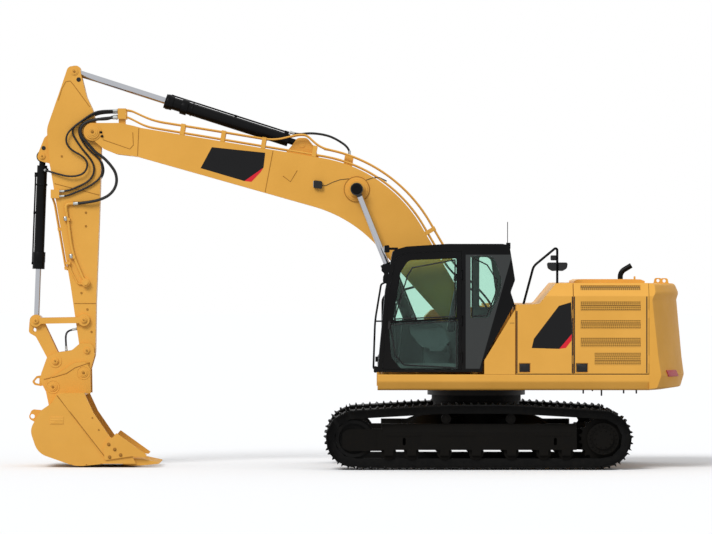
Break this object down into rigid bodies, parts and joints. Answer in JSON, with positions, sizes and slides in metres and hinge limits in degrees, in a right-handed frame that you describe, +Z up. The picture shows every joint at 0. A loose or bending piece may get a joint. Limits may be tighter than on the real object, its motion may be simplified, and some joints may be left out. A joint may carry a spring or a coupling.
{
  "type": "crawler excavator",
  "caption": "Tracked digging machine with a swinging house, left-hand cab, curved boom, stick, and toothed bucket on a coupler, moved by hydraulic cylinders.",
  "frame": {"origin": "on the ground, below the middle of the whole machine as it stands", "axes": "-X forwards along the boom, -Y to the machine's left with the cab, +Z up"},
  "size_m": [8.7776, 2.98, 5.3688],
  "materials": {
    "black_paint": "satin",
    "black_plastic": "matte",
    "chrome_rod": "polished",
    "engine_iron": "matte",
    "glass": "clear",
    "hose_rubber": "matte",
    "seat_fabric": "woven",
    "tooth_steel": "worn",
    "track_steel": "worn",
    "weight_iron": "satin",
    "yellow_paint": "satin"
  },
  "bodies": {
    "chassis": {"car_body": "black_paint", "track_frame_left": "black_paint", "track_frame_right": "black_paint", "track_left": "track_steel", "track_right": "track_steel", "idlers": "track_steel", "sprockets": "black_paint", "rollers": "track_steel", "swing_bearing": "track_steel"},
    "house": {"upper_frame": "yellow_paint", "counterweight": "weight_iron", "house_shell": "yellow_paint", "side_panel": "yellow_paint", "engine_block": "engine_iron", "fuel_tank": "yellow_paint", "hydraulic_tank": "yellow_paint", "tool_box": "black_paint", "exhaust_stack": "black_paint", "handrails": "black_paint", "mirrors": "black_plastic", "cab_shell": "black_paint", "cab_windows": "glass", "boom_girders": "yellow_paint", "cylinder_ears": "yellow_paint", "seat": "seat_fabric", "controls": "black_plastic", "cab_fittings": "black_paint", "boom_foot_hoses": "hose_rubber"},
    "cab_door": {"cab_door": "black_paint", "cab_door_glass": "glass", "cab_door_handle": "black_plastic"},
    "left_front_door": {"left_front_door": "yellow_paint"},
    "left_rear_door": {"left_rear_door": "yellow_paint"},
    "right_rear_door": {"right_rear_door": "yellow_paint"},
    "engine_hood": {"engine_hood": "yellow_paint"},
    "boom": {"boom": "yellow_paint", "boom_piping": "yellow_paint", "boom_lamps": "black_plastic", "boom_hoses": "hose_rubber", "arm_hoses": "hose_rubber"},
    "boom_barrels": {"boom_cylinder_barrels": "black_paint"},
    "boom_rods": {"boom_cylinder_rods": "chrome_rod"},
    "stick": {"stick": "yellow_paint", "stick_piping": "black_paint", "coupler_hose": "hose_rubber"},
    "stick_barrel": {"stick_cylinder_barrel": "black_paint"},
    "stick_rod": {"stick_cylinder_rod": "chrome_rod"},
    "bucket_barrel": {"bucket_cylinder_barrel": "black_paint"},
    "bucket_rod": {"bucket_cylinder_rod": "chrome_rod"},
    "idler_link": {"idler_links": "yellow_paint"},
    "power_link": {"power_link": "yellow_paint"},
    "bucket": {"coupler": "yellow_paint", "bucket": "yellow_paint", "bucket_teeth": "tooth_steel"}
  },
  "joints": [
    {"name": "swing", "type": "hinge", "parent": "chassis", "child": "house", "pos_m": [1.615, 0, 0.958], "axis": [0, 0, 1], "continuous": true},
    {"name": "boom_hinge", "type": "hinge", "parent": "house", "child": "boom", "pos_m": [1.515, 0, 1.83], "axis": [0, 1, 0], "range_deg": [-75, 30], "deforming": ["boom_foot_hoses"]},
    {"name": "stick_hinge", "type": "hinge", "parent": "boom", "child": "stick", "pos_m": [-3.525, 0, 4.477], "axis": [0, -1, 0], "range_deg": [-88, 28], "deforming": ["arm_hoses"]},
    {"name": "bucket_hinge", "type": "hinge", "parent": "stick", "child": "bucket", "pos_m": [-3.599, 0, 1.548], "axis": [0, -1, 0], "range_deg": [-75, 80], "deforming": ["coupler_hose"]},
    {"name": "boom_cylinder_pivot", "type": "hinge", "parent": "house", "child": "boom_barrels", "pos_m": [0.994, 0, 1.271], "axis": [0, 1, 0], "range_deg": [-73.88, 29.55]},
    {"name": "boom_cylinder_stroke", "type": "slide", "parent": "boom_barrels", "child": "boom_rods", "axis": [-0.3739, 0, 0.9274], "range_m": [-0.87836, 0.35135]},
    {"name": "stick_cylinder_pivot", "type": "hinge", "parent": "boom", "child": "stick_barrel", "pos_m": [-0.722, 0, 4.308], "axis": [0, -1, 0], "range_deg": [-2.2, 0.7]},
    {"name": "stick_cylinder_stroke", "type": "slide", "parent": "stick_barrel", "child": "stick_rod", "axis": [-0.9523, 0, 0.3052], "range_m": [-1.10893, 0.35286]},
    {"name": "idler_pivot", "type": "hinge", "parent": "stick", "child": "idler_link", "pos_m": [-3.64, 0, 1.958], "axis": [0, -1, 0], "range_deg": [-56.63, 60.4]},
    {"name": "power_link_pivot", "type": "hinge", "parent": "idler_link", "child": "power_link", "pos_m": [-4.284, 0, 1.947], "axis": [0, -1, 0], "range_deg": [-37.6, 35.25]},
    {"name": "bucket_cylinder_pivot", "type": "hinge", "parent": "stick", "child": "bucket_barrel", "pos_m": [-4.203, 0, 4.15], "axis": [0, -1, 0], "range_deg": [-1.13, 1.2]},
    {"name": "bucket_cylinder_stroke", "type": "slide", "parent": "bucket_barrel", "child": "bucket_rod", "axis": [-0.0367, 0, -0.9993], "range_m": [-0.5138, 0.54805]},
    {"name": "cab_door_hinge", "type": "hinge", "parent": "house", "child": "cab_door", "pos_m": [1.39, -1.4, 1.286], "axis": [0, 0, 1], "range_deg": [0, 165]},
    {"name": "left_front_door_hinge", "type": "hinge", "parent": "house", "child": "left_front_door", "pos_m": [2.8555, -1.4, 1.254], "axis": [0, 0, 1], "range_deg": [0, 95]},
    {"name": "left_rear_door_hinge", "type": "hinge", "parent": "house", "child": "left_rear_door", "pos_m": [3.85341, -1.4, 1.254], "axis": [0, 0, 1], "range_deg": [0, 95]},
    {"name": "right_rear_door_hinge", "type": "hinge", "parent": "house", "child": "right_rear_door", "pos_m": [3.85341, 1.4, 1.254], "axis": [0, 0, -1], "range_deg": [0, 95]},
    {"name": "engine_hood_hinge", "type": "hinge", "parent": "house", "child": "engine_hood", "pos_m": [2.895, 0, 2.4623], "axis": [0, -1, 0], "range_deg": [0, 60]}
  ],
  "couplings": [
    {"joint": "boom_cylinder_pivot", "follows": "boom_hinge", "ratio": 0.985},
    {"joint": "boom_cylinder_stroke", "follows": "boom_hinge", "m_per_rad": 0.671},
    {"joint": "stick_cylinder_pivot", "follows": "stick_hinge", "ratio": 0.025},
    {"joint": "stick_cylinder_stroke", "follows": "stick_hinge", "m_per_rad": 0.722},
    {"joint": "idler_pivot", "follows": "bucket_hinge", "ratio": 0.755},
    {"joint": "power_link_pivot", "follows": "bucket_hinge", "ratio": -0.47},
    {"joint": "bucket_cylinder_pivot", "follows": "bucket_hinge", "ratio": 0.015},
    {"joint": "bucket_cylinder_stroke", "follows": "bucket_hinge", "m_per_rad": 0.3925}
  ]
}
